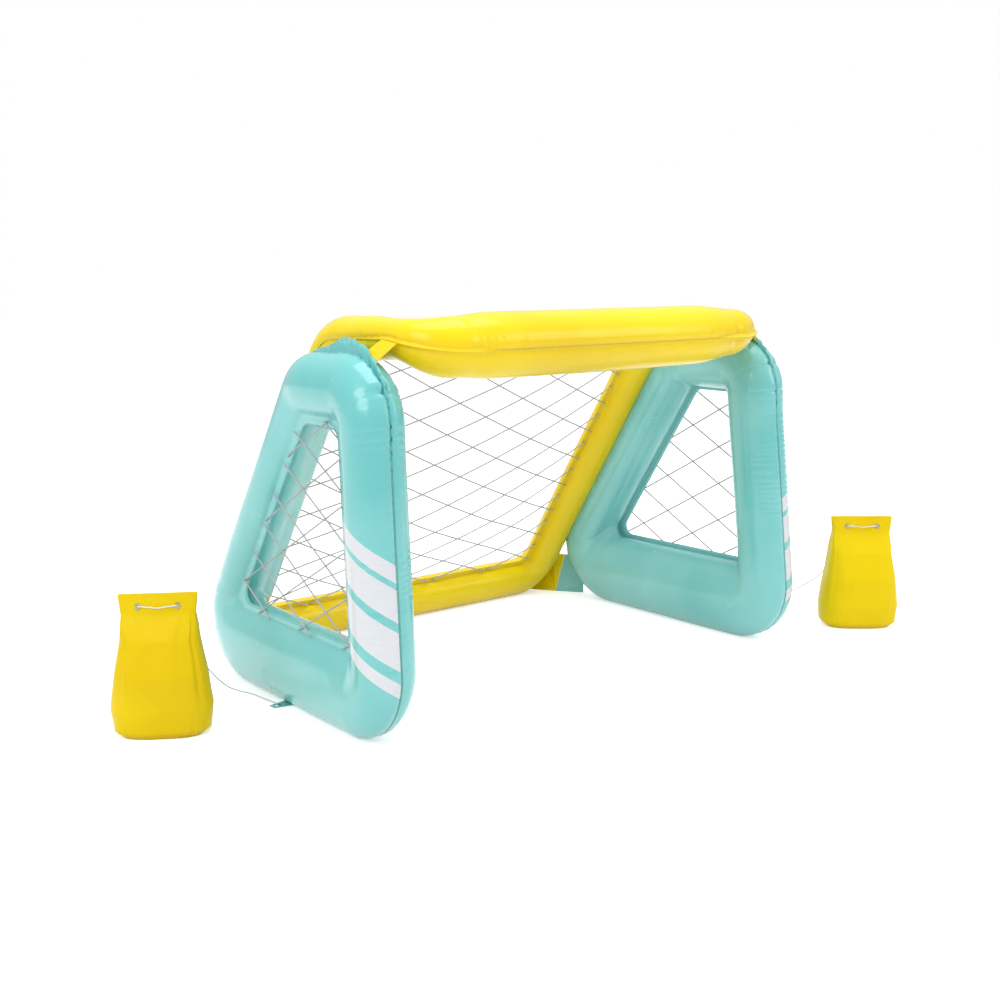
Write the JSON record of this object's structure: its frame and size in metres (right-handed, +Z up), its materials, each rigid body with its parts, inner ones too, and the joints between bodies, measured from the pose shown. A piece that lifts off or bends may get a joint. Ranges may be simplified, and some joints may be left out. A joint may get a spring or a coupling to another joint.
{
  "type": "inflatable pool goal",
  "caption": "Inflatable pool goal with trapezoid side frames, a bent ring that carries the net, netted side windows and tethered ballast bags.",
  "frame": {"origin": "middle of the floor strip under the ring's rear tube, on the plane of symmetry", "axes": "+X to the right seen from the mouth, +Y from the mouth to the rear, +Z up"},
  "size_m": [1.98, 0.9818, 0.8556],
  "materials": {
    "teal_pvc": "glossy",
    "yellow_pvc": "glossy",
    "cord": "twisted cord",
    "valve_plastic": "glossy",
    "eyelet_metal": "satin"
  },
  "bodies": {
    "goal": {"left_frame_outer_sheet": "teal_pvc", "left_frame_inner_sheet": "teal_pvc", "right_frame_outer_sheet": "teal_pvc", "right_frame_inner_sheet": "teal_pvc", "ring_back_sheet": "yellow_pvc", "ring_front_sheet": "yellow_pvc", "left_window_net": "cord", "right_window_net": "cord", "rear_net": "cord", "left_valve_collar": "teal_pvc", "right_valve_collar": "teal_pvc", "ring_valve_collar": "yellow_pvc", "left_front_tab": "yellow_pvc", "right_front_tab": "yellow_pvc", "left_rear_tab": "yellow_pvc", "right_rear_tab": "yellow_pvc", "left_rear_flap": "teal_pvc", "right_rear_flap": "teal_pvc", "left_anchor_tab": "teal_pvc", "right_anchor_tab": "teal_pvc", "left_anchor_eyelet": "eyelet_metal", "right_anchor_eyelet": "eyelet_metal"},
    "left_ballast": {"left_bag": "yellow_pvc", "left_bag_eyelet_a": "eyelet_metal", "left_bag_eyelet_b": "eyelet_metal", "left_bag_rear_eyelet": "eyelet_metal", "left_drawcord": "cord", "left_tether": "cord"},
    "right_ballast": {"right_bag": "yellow_pvc", "right_bag_eyelet_a": "eyelet_metal", "right_bag_eyelet_b": "eyelet_metal", "right_bag_rear_eyelet": "eyelet_metal", "right_drawcord": "cord", "right_tether": "cord"},
    "left_stem": {"left_valve_stem": "valve_plastic"},
    "left_plug": {"left_valve_plug": "valve_plastic"},
    "right_stem": {"right_valve_stem": "valve_plastic"},
    "right_plug": {"right_valve_plug": "valve_plastic"},
    "ring_stem": {"ring_valve_stem": "valve_plastic"},
    "ring_plug": {"ring_valve_plug": "valve_plastic"}
  },
  "joints": [
    {"name": "left_tether_swing", "type": "hinge", "parent": "goal", "child": "left_ballast", "pos_m": [-0.625, -0.4304, 0.002], "axis": [0, 0, 1], "range_deg": [0, 50]},
    {"name": "right_tether_swing", "type": "hinge", "parent": "goal", "child": "right_ballast", "pos_m": [0.625, -0.4304, 0.002], "axis": [0, 0, 1], "range_deg": [-8, 120]},
    {"name": "left_stem_slide", "type": "slide", "parent": "goal", "child": "left_stem", "axis": [0.9828, -0.0226, -0.1831], "range_m": [0, 0.012]},
    {"name": "left_plug_hinge", "type": "hinge", "parent": "left_stem", "child": "left_plug", "pos_m": [-0.52122, -0.63259, 0.07085], "axis": [-0.183, 0.0042, -0.9831], "range_deg": [0, 150]},
    {"name": "right_stem_slide", "type": "slide", "parent": "goal", "child": "right_stem", "axis": [0.989, 0.0228, -0.1459], "range_m": [0, 0.012]},
    {"name": "right_plug_hinge", "type": "hinge", "parent": "right_stem", "child": "right_plug", "pos_m": [0.63999, -0.63118, 0.06982], "axis": [-0.1458, -0.0034, -0.9893], "range_deg": [0, 150]},
    {"name": "ring_stem_slide", "type": "slide", "parent": "goal", "child": "ring_stem", "axis": [0, 0.9925, 0.1224], "range_m": [0, 0.012]},
    {"name": "ring_plug_hinge", "type": "hinge", "parent": "ring_stem", "child": "ring_plug", "pos_m": [0.23284, 0.05936, 0.05418], "axis": [0, -0.1224, 0.9925], "range_deg": [0, 150]}
  ]
}
